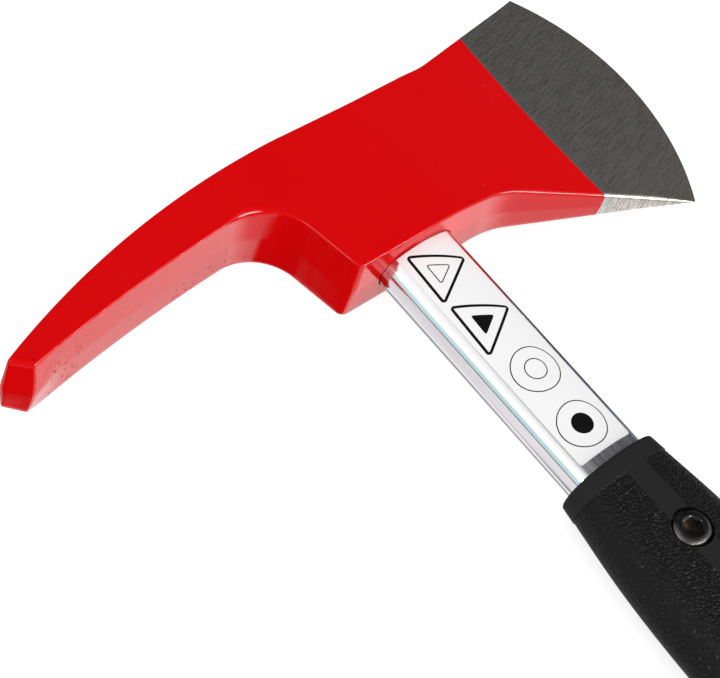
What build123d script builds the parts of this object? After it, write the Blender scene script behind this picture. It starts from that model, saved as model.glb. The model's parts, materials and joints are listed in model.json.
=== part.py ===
"""Short fire axe: a forged head on a chromed flat-oval steel tube with a moulded grip.

The axe lies on its side. +X runs from the pick to the cutting edge, the handle points
along -Y, and +Z is up, square to the cheeks. The origin is on the lower cheek, under the
handle's axis, halfway up the eye. All sizes are in millimetres. The pieces are drawn
about the mid-plane between the cheeks and lifted by half the head's thickness at the end.
"""
from build123d import *
import math
import os

# ---- head: outline along the parting line, which is its widest section ----
head_thickness = 30.6        # over the two cheeks
forging_draft = 4.5          # degrees, both ways from the parting line
edge_radius = 101.6          # arc of the cutting edge
edge_centre = (18.9, -8.2)
heel_angle = -32.5           # ends of the cutting edge, degrees from +X
toe_angle = 29.3
wedge_start = 15.0           # x where the cheeks stop being parallel
underside = -28.2            # y of the eye's underside
throat = (36.5, underside)   # where the underside turns down to the heel
throat_radius = 32.0
blade_top = (48.5, 30.3)     # where the top edge starts to rise to the toe
eye_top_front = (39.3, 30.1)
eye_top_low = (14.0, 28.6)
top_blends = (40.0, 60.0, 120.0)
pick_crown_x = -22.0         # where the pick's back starts to curve down
pick_crown_y = 29.6
pick_back_radius = 320.7
pick_back_sweep = 22.87      # degrees of that curve
pick_tip_inner = (-138.5, -3.0)
pick_root = (-36.5, 8.9)     # where pick and poll meet
pick_root_radius = 18.0
pick_hollow = 1.9            # rise of the pick's inner curve over its chord
poll_foot = (-29.4, underside)
poll_foot_radius = 4.5
cheek_chamfer = 0.6          # along the cheeks' edges

# ---- handle tube ----
tube_width = 31.5
tube_thickness = 19.0
tube_end_radius = 8.2        # the narrow sides
tube_wall = 2.0
tube_top = 23.5              # y of the end inside the eye
tube_flare = 0.7             # how far the expanded end stands out, each way
tube_flare_length = 20.0

# ---- expander plug ----
plug_length = 26.0

# ---- grip ----
grip_front = -124.0          # y of the front rim
sleeve_length = 184.0
# distance behind the rim, half width, half thickness, offset of the centre along X
grip_sections = ((0.0, 19.3, 13.7, -0.2), (33.0, 23.7, 14.6, -0.5), (72.0, 25.7, 15.1, -0.7),
                 (136.0, 23.4, 14.4, -0.3), (sleeve_length, 25.4, 15.1, 0.0))
grip_end_ratio = 0.9         # radius of the narrow sides over the half thickness
rim_round = 0.8
cap_thickness = 6.0
cap_round = 2.6
cap_spigot_length = 40.0

# ---- grip screws and their sleeve nuts ----
screw_setback = 33.0         # front screw behind the rim
rear_screw_setback = 31.0    # rear screw ahead of the sleeve's end
thread_diameter = 8.0
screw_head_diameter = 13.0
screw_head_height = 4.4
screw_head_chamfer = 0.7
socket_across_flats = 6.0
socket_depth = 2.6
recess_diameter = 14.4
barrel_diameter = 10.0
screw_tip_gap = 1.5          # between the screw's tip and the closed end of the barrel
barrel_bottom = 0.6          # metal between the hex socket and the barrel's bore

# ---- label ----
label_width = 22.4
label_front = -27.8
label_rear = -119.8
label_thickness = 0.2
label_corner = 2.5

# ---- fits ----
fit_gap = 0.05               # around pieces that are pressed or pushed together
seat_gap = 0.1               # between faces that seat on each other
hole_gap = 0.1               # around a barrel or thread in a drilled hole
overrun = 20.0               # how far a cutter runs past what it cuts

mid = head_thickness / 2
sleeve_end = grip_front - sleeve_length
tube_end = sleeve_end + seat_gap


def crown_drop(width, thickness, end_radius):
    """How far the centre of an oval's broad arc lies beyond the oval's own centre."""
    reach = width / 2 - end_radius
    rise = thickness / 2 - end_radius
    return (reach ** 2 - rise ** 2) / (2 * rise)


def oval(width, thickness, end_radius):
    """Oval of four tangent arcs, centred on the origin, long axis along X."""
    reach = width / 2 - end_radius
    drop = crown_drop(width, thickness, end_radius)
    turn = math.atan2(drop, reach)
    join_x = reach + end_radius * math.cos(turn)
    join_y = end_radius * math.sin(turn)
    half_width, half_thickness = width / 2, thickness / 2
    edges = [
        ThreePointArc((join_x, join_y), (0, half_thickness), (-join_x, join_y)),
        ThreePointArc((-join_x, join_y), (-half_width, 0), (-join_x, -join_y)),
        ThreePointArc((-join_x, -join_y), (0, -half_thickness), (join_x, -join_y)),
        ThreePointArc((join_x, -join_y), (half_width, 0), (join_x, join_y)),
    ]
    return make_face(Wire(edges))


def tube_oval(grow):
    """The tube's outer section, grown by the given amount all round."""
    return oval(tube_width + 2 * grow, tube_thickness + 2 * grow, tube_end_radius + grow)


def across(y):
    """Plane square to the handle at y, with its own X along +X and its Y along +Z."""
    return Plane(origin=(0, y, 0), x_dir=(1, 0, 0), z_dir=(0, -1, 0))


def bar(section, y_from, y_to):
    """Straight bar of the section between two places along the handle."""
    return extrude(across(max(y_from, y_to)) * section, amount=abs(y_to - y_from))


def taper_bar(grow_top, y_top, grow_low, y_low):
    """Tapered stretch of the tube's oval, from one growth to another."""
    return loft([across(y_top) * tube_oval(grow_top), across(y_low) * tube_oval(grow_low)], ruled=True)


def flared_bar(grow, y_from, y_to):
    """The tube's line with its expanded upper end, grown by the given amount."""
    flare_start = tube_top - tube_flare_length
    flare_rate = tube_flare / tube_flare_length
    straight = bar(tube_oval(grow), flare_start, y_to)
    flare = taper_bar(grow + flare_rate * (y_from - flare_start), y_from, grow, flare_start)
    return straight + flare


def polar(centre, radius, angle):
    return (centre[0] + radius * math.cos(math.radians(angle)),
            centre[1] + radius * math.sin(math.radians(angle)))


def head_outline():
    """Outline of the head along its parting line, seen square to the cheek."""
    heel = polar(edge_centre, edge_radius, heel_angle)
    toe = polar(edge_centre, edge_radius, toe_angle)
    back_centre = (pick_crown_x, pick_crown_y - pick_back_radius)
    tip_outer = polar(back_centre, pick_back_radius, 90 + pick_back_sweep)
    with BuildSketch() as sketch:
        with BuildLine():
            CenterArc(edge_centre, edge_radius, heel_angle, toe_angle - heel_angle)
            Line(toe, blade_top)
            Line(blade_top, eye_top_front)
            Line(eye_top_front, eye_top_low)
            Line(eye_top_low, (pick_crown_x, pick_crown_y))
            CenterArc(back_centre, pick_back_radius, 90, pick_back_sweep)
            Line(tip_outer, pick_tip_inner)
            SagittaArc(pick_tip_inner, pick_root, pick_hollow)
            Line(pick_root, poll_foot)
            Line(poll_foot, throat)
            Line(throat, heel)
        make_face()
        corners = [(blade_top, top_blends[0]), (eye_top_front, top_blends[1]),
                   (eye_top_low, top_blends[2]), (pick_root, pick_root_radius),
                   (poll_foot, poll_foot_radius), (throat, throat_radius)]
        for corner, radius in corners:
            fillet(sketch.vertices().sort_by_distance(corner)[0], radius)
    return sketch.sketch


def blade_wedge():
    """Solid that thins the blade from the parallel cheeks to the curved edge."""
    spare_angle = 8
    low = polar(edge_centre, edge_radius, heel_angle - spare_angle)
    high = polar(edge_centre, edge_radius, toe_angle + spare_angle)
    tip = (edge_centre[0] + edge_radius, edge_centre[1])
    edge = ThreePointArc((*low, 0), (*tip, 0), (*high, 0)).edge()
    faces = []
    corners = {}
    for side in (1, -1):
        z = side * mid
        corners[side] = ((wedge_start, low[1], z), (wedge_start, high[1], z))
        ridge = Edge.make_line(*corners[side])
        faces.append(Face.make_surface_from_curves(ridge, edge))
    back = Wire.make_polygon([corners[1][0], corners[1][1], corners[-1][1], corners[-1][0]])
    faces.append(Face(back))
    for index, point in ((0, low), (1, high)):
        faces.append(Face(Wire.make_polygon([corners[1][index], (*point, 0), corners[-1][index]])))
    return Solid(Shell(faces))


def axe_head():
    """Forged head: pick, eye and blade in one piece, bored for the tube."""
    upper = extrude(head_outline(), amount=mid, taper=forging_draft)
    forging = upper + mirror(upper, about=Plane.XY)
    lower_cheek, *_, upper_cheek = forging.faces().sort_by(Axis.Z)
    forging = chamfer(lower_cheek.edges() + upper_cheek.edges(), cheek_chamfer)
    reach = 2 * pick_back_radius
    behind = Pos(wedge_start - reach / 2, 0, 0) * Box(reach, reach, reach)
    head = (forging & behind) + (forging & blade_wedge())
    return head - flared_bar(fit_gap, pick_crown_y + overrun, underside - overrun)


def handle_tube():
    """Flat-oval tube, expanded at its upper end and drilled for the grip's fasteners."""
    tube = flared_bar(0, tube_top, tube_end) - flared_bar(-tube_wall, tube_top, tube_end)
    for y in screw_places():
        tube -= Pos(0, y, mid) * Cylinder(thread_diameter / 2 + hole_gap, head_thickness)
        tube -= Pos(0, y, -mid) * Cylinder(barrel_diameter / 2 + hole_gap, head_thickness)
    return tube


def screw_places():
    return (grip_front - screw_setback, sleeve_end + rear_screw_setback)


def eye_plug():
    """Tapered steel plug driven into the tube's end, which holds it wide in the eye."""
    inner = -tube_wall - fit_gap
    plug_low = tube_top - plug_length
    plug = flared_bar(inner, tube_top, plug_low)
    return chamfer(plug.faces().sort_by(Axis.Y)[0].edges(), tube_wall / 4)


def grip_face(distance, half_width, half_thickness, offset):
    """Section of the grip at a distance behind its rim."""
    section = oval(2 * half_width, 2 * half_thickness, grip_end_ratio * half_thickness)
    return across(grip_front - distance) * Pos(offset, 0) * section


def grip_sleeve():
    """One-piece moulded grip, pushed over the tube, with a round recess for each fastener."""
    body = loft([grip_face(*section) for section in grip_sections])
    body = fillet(body.faces().sort_by(Axis.Y)[-1].edges(), rim_round)
    body -= bar(tube_oval(fit_gap), grip_front + 1, sleeve_end - 1)
    for y in screw_places():
        body -= Pos(0, y, 0) * Cylinder(recess_diameter / 2, 2 * head_thickness)
    return body


def butt_cap():
    """Moulded cap on the grip's end, with a spigot that the rear sleeve nut locks."""
    flange_front = sleeve_end - seat_gap
    end_distance, *end_sizes = grip_sections[-1]
    flange = extrude(grip_face(end_distance + seat_gap, *end_sizes), amount=cap_thickness)
    flange = fillet(flange.faces().sort_by(Axis.Y)[0].edges(), cap_round)
    spigot = bar(tube_oval(-tube_wall - seat_gap), flange_front + cap_spigot_length, flange_front)
    cap = flange + spigot
    return cap - Pos(0, screw_places()[1], 0) * Cylinder(barrel_diameter / 2 + hole_gap, head_thickness)


def fastener_head():
    """Low round head with a hex socket: its bearing face is at z = 0, facing down."""
    head = Pos(0, 0, screw_head_height / 2) * Cylinder(screw_head_diameter / 2, screw_head_height)
    head = chamfer(head.edges().sort_by(Axis.Z)[-1], screw_head_chamfer)
    socket = extrude(RegularPolygon(socket_across_flats / 2, 6, major_radius=False), amount=socket_depth)
    return head - Pos(0, 0, screw_head_height - socket_depth) * socket


def grip_screw(y):
    """Low-head socket screw, from above."""
    seat = tube_thickness / 2 + seat_gap
    barrel_floor = -seat - screw_head_height + socket_depth + barrel_bottom
    length = seat - barrel_floor - screw_tip_gap
    shank = Pos(0, 0, -length / 2) * Cylinder(thread_diameter / 2 - fit_gap, length)
    shank = chamfer(shank.edges().sort_by(Axis.Z)[0], tube_wall / 4)
    return Pos(0, y, seat) * (fastener_head() + shank)


def sleeve_nut(y):
    """Sleeve nut from below: its barrel spans the tube, so the screw can't crush it."""
    seat = tube_thickness / 2 + seat_gap
    inner_crown = tube_thickness / 2 - tube_wall
    crown_radius = crown_drop(tube_width, tube_thickness, tube_end_radius) + inner_crown
    crown_fall = crown_radius - math.sqrt(crown_radius ** 2 - barrel_diameter ** 2 / 4)
    length = seat + inner_crown - crown_fall - seat_gap
    barrel = Pos(0, 0, -length / 2) * Cylinder(barrel_diameter / 2, length)
    nut = fastener_head() + barrel
    bore_length = length + screw_head_height - socket_depth - barrel_bottom
    nut -= Pos(0, 0, bore_length / 2 - length) * Cylinder(thread_diameter / 2, bore_length)
    return Pos(0, y, -seat) * Rot(180, 0, 0) * nut


def label():
    """Thin label on the tube's upper face."""
    base = seat_gap / 2
    skin = (bar(tube_oval(base + label_thickness), label_front, label_rear)
            - bar(tube_oval(base), label_front, label_rear))
    length = label_front - label_rear
    outline = Pos(0, label_rear + length) * RectangleRounded(label_width, 2 * length, label_corner)
    return skin & extrude(outline, amount=head_thickness)


front_screw_y, rear_screw_y = screw_places()
pieces = {
    "axe_head": axe_head(),
    "handle_tube": handle_tube(),
    "eye_plug": eye_plug(),
    "grip_sleeve": grip_sleeve(),
    "butt_cap": butt_cap(),
    "front_grip_screw": grip_screw(front_screw_y),
    "front_sleeve_nut": sleeve_nut(front_screw_y),
    "rear_grip_screw": grip_screw(rear_screw_y),
    "rear_sleeve_nut": sleeve_nut(rear_screw_y),
    "tube_label": label(),
}

os.makedirs("parts", exist_ok=True)
for name, piece in pieces.items():
    export_step(Pos(0, 0, mid) * piece, f"parts/{name}.step")
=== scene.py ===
"""Short fire axe: the looks built round its packed construction.

It lies on its side: +X runs to the cutting edge, the handle points along -Y, and +Z is up.
Sizes are in millimetres until mesh_piece turns them into the frame's metres.
"""
import math

import bmesh
import bpy
import json
import numpy as np
from mathutils import Matrix, Vector
from mathutils.geometry import delaunay_2d_cdt

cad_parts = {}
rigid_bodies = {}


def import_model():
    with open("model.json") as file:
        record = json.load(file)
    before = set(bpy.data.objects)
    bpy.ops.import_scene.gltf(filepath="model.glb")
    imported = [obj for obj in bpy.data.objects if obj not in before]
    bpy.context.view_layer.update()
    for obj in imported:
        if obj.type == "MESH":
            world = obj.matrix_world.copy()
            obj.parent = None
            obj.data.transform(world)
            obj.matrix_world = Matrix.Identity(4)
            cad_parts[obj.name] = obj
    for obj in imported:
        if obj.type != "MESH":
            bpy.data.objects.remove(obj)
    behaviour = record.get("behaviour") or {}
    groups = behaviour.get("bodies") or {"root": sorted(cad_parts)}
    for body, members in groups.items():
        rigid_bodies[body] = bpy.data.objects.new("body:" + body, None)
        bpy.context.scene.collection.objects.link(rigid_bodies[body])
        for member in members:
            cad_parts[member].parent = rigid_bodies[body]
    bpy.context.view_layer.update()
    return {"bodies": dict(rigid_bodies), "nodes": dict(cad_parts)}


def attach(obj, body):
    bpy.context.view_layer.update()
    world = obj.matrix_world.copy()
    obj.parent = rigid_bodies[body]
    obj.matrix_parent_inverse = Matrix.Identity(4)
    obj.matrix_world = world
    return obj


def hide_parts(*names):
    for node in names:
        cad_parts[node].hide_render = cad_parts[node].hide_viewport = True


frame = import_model()
MM = 0.001
ROOT = next(iter(frame["bodies"]))


# ---- The camera --------------------------------------------------------------------------
# A long lens looks down on the head from the pick's side, with the handle running out of
# the frame at the lower right.
VIEW_AZIMUTH, VIEW_ELEVATION, VIEW_ROLL = map(math.radians, (-58.921, 54.802, 22.652))
LENS, SENSOR = 105.0, 36.0
AIM = Vector((-37.06, -42.12, 15.3)) * MM
DISTANCE = 678.6 * MM


def put_camera():
    """Camera at the view's angles, its picture turned by the roll."""
    flat = math.cos(VIEW_ELEVATION)
    back = Vector((math.sin(VIEW_AZIMUTH) * flat, -math.cos(VIEW_AZIMUTH) * flat, math.sin(VIEW_ELEVATION)))
    level = Vector((math.cos(VIEW_AZIMUTH), math.sin(VIEW_AZIMUTH), 0))
    right = math.cos(VIEW_ROLL) * level + math.sin(VIEW_ROLL) * back.cross(level)
    camera = bpy.data.objects.new("camera", bpy.data.cameras.new("camera"))
    camera.data.lens, camera.data.sensor_width = LENS, SENSOR
    camera.data.clip_start, camera.data.clip_end = 0.01, 50
    turn = Matrix((right, back.cross(right), back)).transposed().to_4x4()
    camera.matrix_world = Matrix.Translation(AIM + DISTANCE * back) @ turn
    bpy.context.scene.collection.objects.link(camera)
    bpy.context.scene.camera = camera


put_camera()


# ---- The studio --------------------------------------------------------------------------
# A pale floor under an even white surround. Gloss sees a white room with two dark flags in
# it, one beyond the blade and one low on the pick's side, and a thin line at the horizon.
WHITE = (1, 1, 1, 1)
AROUND, TILT = 1.0, (-0.05, -0.60, 0.0)    # soft light, and how much stronger it is from each side
# axis of a flag, the cosines where it starts and where it is full, and its brightness
FLAGS = (((0.60, 0.65, 0.46), 0.52, 0.66, 0.08), ((-0.58, -0.22, -0.78), 0.895, 0.94, 0.02),
         ((0.60, 0.55, -0.58), 0.88, 0.94, 0.03), ((0.05, 0.35, -0.93), 0.90, 0.975, 0.40),
         ((-0.50, -0.58, 0.62), 0.86, 0.93, 0.05), ((-0.05, -0.25, 0.97), 0.80, 0.90, 0.10),
         ((-0.27, -0.42, -0.865), 0.965, 0.988, 0.03))
FLOOR_COLOUR = (0.62, 0.62, 0.62, 1)
FLOOR_LIFT = 0.72            # added where the camera looks, so that the floor reads as white
FLOOR_SIZE = 8.0


def add(tree, kind, inputs=None, **settings):
    """Adds a node; an input given as a socket is linked, and any other is set."""
    node = tree.nodes.new(kind)
    for name, value in settings.items():
        setattr(node, name, value)
    for name, value in (inputs or {}).items():
        if isinstance(value, bpy.types.NodeSocket):
            tree.links.new(value, node.inputs[name])
        else:
            node.inputs[name].default_value = value
    return node


def maths(tree, operation, *values):
    """Result of a Math node."""
    return add(tree, "ShaderNodeMath", dict(enumerate(values)), operation=operation).outputs[0]


def mixed(tree, factor, first, second):
    """Colour between two colours."""
    node = add(tree, "ShaderNodeMix", {0: factor, 6: first, 7: second}, data_type="RGBA")
    return node.outputs[2]


def ramp(tree, value, low, high, out_low=0.0, out_high=1.0):
    """Smooth step of a value from one level to another."""
    inputs = {"Value": value, "From Min": low, "From Max": high, "To Min": out_low, "To Max": out_high}
    return add(tree, "ShaderNodeMapRange", inputs, interpolation_type="SMOOTHSTEP").outputs[0]


def light_world():
    """White surround for the camera, soft light, and the room with its flags for gloss."""
    world = bpy.data.worlds.new("studio")
    world.use_nodes = True
    tree = world.node_tree
    tree.nodes.clear()
    way = add(tree, "ShaderNodeTexCoord").outputs["Generated"]
    x, y, z = add(tree, "ShaderNodeSeparateXYZ", {0: way}).outputs
    under = mixed(tree, ramp(tree, y, 0.04, -0.24), (1.25, 1.25, 1.25, 1), (1.20, 1.20, 1.20, 1))
    patch = maths(tree, "MULTIPLY", ramp(tree, y, -0.28, -0.40), ramp(tree, y, -0.66, -0.50))
    under = mixed(tree, maths(tree, "MULTIPLY", patch, ramp(tree, x, 0.60, 0.53)), under, (1.95, 1.95, 1.95, 1))
    below = mixed(tree, ramp(tree, x, -0.6, -0.2), (0.86, 0.82, 0.85, 1), under)
    far_side = maths(tree, "MULTIPLY", ramp(tree, x, 0.64, 0.74), ramp(tree, y, 0.08, 0.20))
    below = mixed(tree, far_side, below, (0.13, 0.16, 0.22, 1))
    above = mixed(tree, ramp(tree, z, 0.30, 0.42), (0.62, 0.86, 0.87, 1), (1.05, 1.05, 1.05, 1))
    above = mixed(tree, ramp(tree, x, -0.5, -0.3), above, (1.05, 1.05, 1.05, 1))
    room = mixed(tree, maths(tree, "GREATER_THAN", z, 0.0), below, above)
    off_level = maths(tree, "ABSOLUTE", maths(tree, "SUBTRACT", z, 0.012))
    room = mixed(tree, maths(tree, "LESS_THAN", off_level, 0.038), room, (0.10, 0.09, 0.10, 1))
    table = maths(tree, "MULTIPLY", ramp(tree, y, -0.40, -0.50), ramp(tree, z, -0.45, -0.30))
    table = maths(tree, "MULTIPLY", table, ramp(tree, z, 0.06, -0.04))
    room = mixed(tree, table, room, (0.05, 0.05, 0.05, 1))
    for axis, outer, inner, level in FLAGS:
        near = add(tree, "ShaderNodeVectorMath", {0: way, 1: Vector(axis).normalized()}, operation="DOT_PRODUCT")
        cover = ramp(tree, near.outputs["Value"], outer, inner)
        room = mixed(tree, cover, room, (level, level, level * 1.05, 1))
    tilt = add(tree, "ShaderNodeVectorMath", {0: way, 1: TILT}, operation="DOT_PRODUCT").outputs["Value"]
    soft = maths(tree, "MULTIPLY_ADD", tilt, AROUND, AROUND)
    path = add(tree, "ShaderNodeLightPath")
    seen = mixed(tree, path.outputs["Is Glossy Ray"], soft, room)
    plain = maths(tree, "MAXIMUM", path.outputs["Is Camera Ray"], path.outputs["Is Transmission Ray"])
    seen = mixed(tree, plain, seen, WHITE)
    background = add(tree, "ShaderNodeBackground", {"Color": seen})
    add(tree, "ShaderNodeOutputWorld", {"Surface": background.outputs[0]})
    bpy.context.scene.world = world


def lay_floor():
    """Floor that takes the axe's shadow; gloss looks through it to the white room."""
    mesh = bpy.data.meshes.new("floor")
    half = FLOOR_SIZE / 2
    mesh.from_pydata([(-half, -half, 0), (half, -half, 0), (half, half, 0), (-half, half, 0)], [], [(0, 1, 2, 3)])
    floor = bpy.data.objects.new("floor", mesh)
    bpy.context.scene.collection.objects.link(floor)
    material = bpy.data.materials.new("floor_paper")
    material.use_nodes = True
    tree = material.node_tree
    tree.nodes.clear()
    paper = add(tree, "ShaderNodeBsdfDiffuse", {"Color": FLOOR_COLOUR})
    path = add(tree, "ShaderNodeLightPath")
    lift = maths(tree, "MULTIPLY", path.outputs["Is Camera Ray"], FLOOR_LIFT)
    glow = add(tree, "ShaderNodeEmission", {"Color": WHITE, "Strength": lift})
    both = add(tree, "ShaderNodeAddShader", {0: paper.outputs[0], 1: glow.outputs[0]})
    clear = add(tree, "ShaderNodeBsdfTransparent")
    gloss = add(tree, "ShaderNodeMixShader", {0: path.outputs["Is Glossy Ray"], 1: both.outputs[0], 2: clear.outputs[0]})
    add(tree, "ShaderNodeOutputMaterial", {"Surface": gloss.outputs[0]})
    mesh.materials.append(material)


def hang_lamp(name, way, size, power, roll=0.0):
    """Softbox seen only in gloss, that faces the axe from a way off."""
    lamp = bpy.data.lights.new(name, "AREA")
    lamp.shape, lamp.energy = "RECTANGLE", power
    lamp.size, lamp.size_y = size
    softbox = bpy.data.objects.new(name, lamp)
    way = Vector(way).normalized()
    softbox.matrix_world = Matrix.Translation(AIM + 1.3 * way) @ way.to_track_quat("Z", "Y").to_matrix().to_4x4()
    softbox.matrix_world = softbox.matrix_world @ Matrix.Rotation(roll, 4, "Z")
    softbox.visible_diffuse = False
    bpy.context.scene.collection.objects.link(softbox)


light_world()
lay_floor()
hang_lamp("front_softbox", (0.18, -0.88, 0.385), (1.16, 0.22), 42.0, -0.30)
hang_lamp("side_softbox", (-0.83, 0.05, 0.55), (0.56, 0.24), 5.0)
bpy.context.scene.view_settings.view_transform = "Standard"


# ---- The forged head ---------------------------------------------------------------------
# One steel forging: blade, eye and curved pick. It is enamelled red, then the blade is
# ground back to bare steel. Its sides bulge a little to the parting line halfway up.
MID = 15.3                   # half the head's thickness, and the height of the parting line
EDGE_CENTRE, EDGE_RADIUS = np.array((18.9, -8.2)), 101.6
HEEL_ANGLE, TOE_ANGLE = -32.5, 29.3
WEDGE_START = 15.0
UNDERSIDE = -28.2
THROAT = (36.5, UNDERSIDE)
BLADE_TOP, EYE_TOP_FRONT, EYE_TOP_LOW = (48.5, 30.3), (39.3, 30.1), (14.0, 28.6)
PICK_CROWN = np.array((-22.0, 29.6))
PICK_BACK_RADIUS, PICK_BACK_SWEEP = 320.7, 22.87
PICK_TIP_INNER, PICK_ROOT, PICK_HOLLOW = (-138.5, -3.0), (-36.5, 8.9), 1.9
TIP_WAY = np.array((0.738, -0.674))    # along the tip's face, towards its foot
POLL_FOOT = (-29.4, UNDERSIDE)
CORNER_ROUNDS = {"throat": 32, "blade_top": 40, "eye_front": 60, "eye_low": 120, "root": 18, "foot": 4.5, "tip": 2.0}
SIDE_INSET, SIDE_LEAN = 0.75, 0.45    # of the sides at the parting line, and from there to a full cheek
# rounding of the edges: along the upper cheek for each leg of the outline, and the lower one
UPPER_ROUNDS = (0.6, 0.8, 0.8, 0.8, 0.8, 0.8, 1.8, 0.7, 0.8, 0.8, 1.6)
LOWER_ROUND = 2.2
TIP_SWELL = 1.1              # how far the foot of the tip swells out halfway up
TIP_LIFT = 3.2               # how far the lower cheek curls up at the very end of the pick
ROOT_ROUND = 2.2             # the extra rounding in the bend under the pick
GROUND_FROM = 70.9           # x where the bare steel starts, at the handle's axis
STEP = 1.5                   # spacing of the outline's points
MIN_HALF = 0.02              # half the blade's thickness at its edge


def mesh_piece(name, points, faces, material, sharp=32):
    """Mesh object from points in millimetres, smooth except over sharp edges."""
    mesh = bpy.data.meshes.new(name)
    mesh.from_pydata([tuple(MM * float(c) for c in p) for p in points], [], [tuple(map(int, f)) for f in faces])
    return finish_piece(name, mesh, material, sharp)


def finish_piece(name, mesh, material, sharp=32):
    """Cleans a closed mesh, turns its faces outwards and links it as an object."""
    bm = bmesh.new()
    bm.from_mesh(mesh)
    bmesh.ops.remove_doubles(bm, verts=bm.verts, dist=0.002 * MM)
    bmesh.ops.dissolve_degenerate(bm, edges=bm.edges, dist=0.001 * MM)
    bmesh.ops.recalc_face_normals(bm, faces=bm.faces)
    bm.to_mesh(mesh)
    bm.free()
    mesh.polygons.foreach_set("use_smooth", [True] * len(mesh.polygons))
    mesh.set_sharp_from_angle(angle=math.radians(sharp))
    mesh.materials.clear()
    mesh.materials.append(material)
    piece = bpy.data.objects.new(name, mesh)
    bpy.context.scene.collection.objects.link(piece)
    return piece


def unit(vector):
    return vector / np.linalg.norm(vector, axis=-1, keepdims=True)


def ease(value, low, high):
    """Smooth step of a number from 0 to 1."""
    t = np.clip((value - low) / (high - low), 0, 1)
    return t * t * (3 - 2 * t)


def polar(centre, radius, degrees):
    angle = np.radians(degrees)
    return np.asarray(centre) + radius * np.stack((np.cos(angle), np.sin(angle)), -1)


def spread(start, end):
    """Points along a straight side."""
    start, end = np.asarray(start, float), np.asarray(end, float)
    count = max(2, round(np.linalg.norm(end - start) / STEP))
    return start + np.linspace(0, 1, count + 1)[:, None] * (end - start)


def cut_back(leg, length):
    """Leg shortened by a length at its end."""
    steps = np.linalg.norm(np.diff(leg, axis=0), axis=1)
    along = np.concatenate(([0], np.cumsum(steps)))
    stop = along[-1] - length
    keep = leg[along < stop - STEP / 4]
    last = [np.interp(stop, along, leg[:, axis]) for axis in (0, 1)]
    return np.vstack((keep, last))


def join_rounded(legs, rounds):
    """Closed outline with each corner between a leg and the next rounded.

    Besides the points it gives how each one moves when the outline shrinks past a tight
    corner's rounding: how far it may go straight in, and its slide for each unit beyond.
    """
    legs = [np.array(leg) for leg in legs]
    count = len(legs)
    corners = []
    for index, radius in enumerate(rounds):
        after = (index + 1) % count
        way_in, way_out = unit(legs[index][-1] - legs[index][-2]), unit(legs[after][1] - legs[after][0])
        turn = math.atan2(way_in[0] * way_out[1] - way_in[1] * way_out[0], way_in @ way_out)
        reach = radius * math.tan(abs(turn) / 2)
        if radius:
            legs[index] = cut_back(legs[index], reach)
            legs[after] = cut_back(legs[after][::-1], reach)[::-1]
        corners.append((radius, turn, way_in, way_out))
    points, rooms, slides, owners = [], [], [], []
    fade, tight = 10.0, 5.0
    for index, leg in enumerate(legs):
        room, slide = np.full(len(leg), 99.0), np.zeros((len(leg), 2))
        for (radius, turn, way_in, way_out), end, way in ((corners[index - 1], 0, 1), (corners[index], -1, -1)):
            if 0 < radius < tight and turn > 0:
                near = np.maximum(1 - np.linalg.norm(leg - leg[end], axis=1) / fade, 0)
                slide += near[:, None] * math.tan(turn / 2) * (way_out if way > 0 else -way_in)
                room = np.where(near > 0, 0.9 * radius, room)
        points.extend(leg)
        rooms.extend(room)
        slides.extend(slide)
        owners.extend([index] * len(leg))
        radius, turn, way_in, way_out = corners[index]
        if not radius:
            continue
        start, end = leg[-1], legs[(index + 1) % count][0]
        handle = 4 / 3 * math.tan(abs(turn) / 4) * radius
        pull = (start, start + handle * way_in, end - handle * way_out, end)
        steps = max(4, int(math.degrees(abs(turn)) / 4))
        for t in np.linspace(0, 1, steps + 1)[1:-1]:
            weights = ((1 - t) ** 3, 3 * t * (1 - t) ** 2, 3 * t * t * (1 - t), t ** 3)
            points.append(sum(w * p for w, p in zip(weights, pull)))
            inward = rotate_left(unit((1 - t) * way_in + t * way_out))
            middle = rotate_left(unit(way_in + way_out)) / math.cos(turn / 2)
            slides.append(middle - inward)
            rooms.append(0.9 * radius if radius < tight and turn > 0 else 99.0)
            owners.append(index + t)
    points = np.array(points)
    keep = np.linalg.norm(points - np.roll(points, 1, axis=0), axis=1) > STEP / 100
    return points[keep], np.array(rooms)[keep], np.array(slides)[keep], np.array(owners)[keep]


def rotate_left(vectors):
    """Vectors turned by a quarter, from along an anticlockwise outline to into it."""
    return np.asarray(vectors) @ np.array(((0, 1), (-1, 0)))


def inward_of(points):
    """Unit vectors into a closed anticlockwise outline."""
    before, after = unit(points - np.roll(points, 1, 0)), unit(np.roll(points, -1, 0) - points)
    return rotate_left(unit(before + after))


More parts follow.
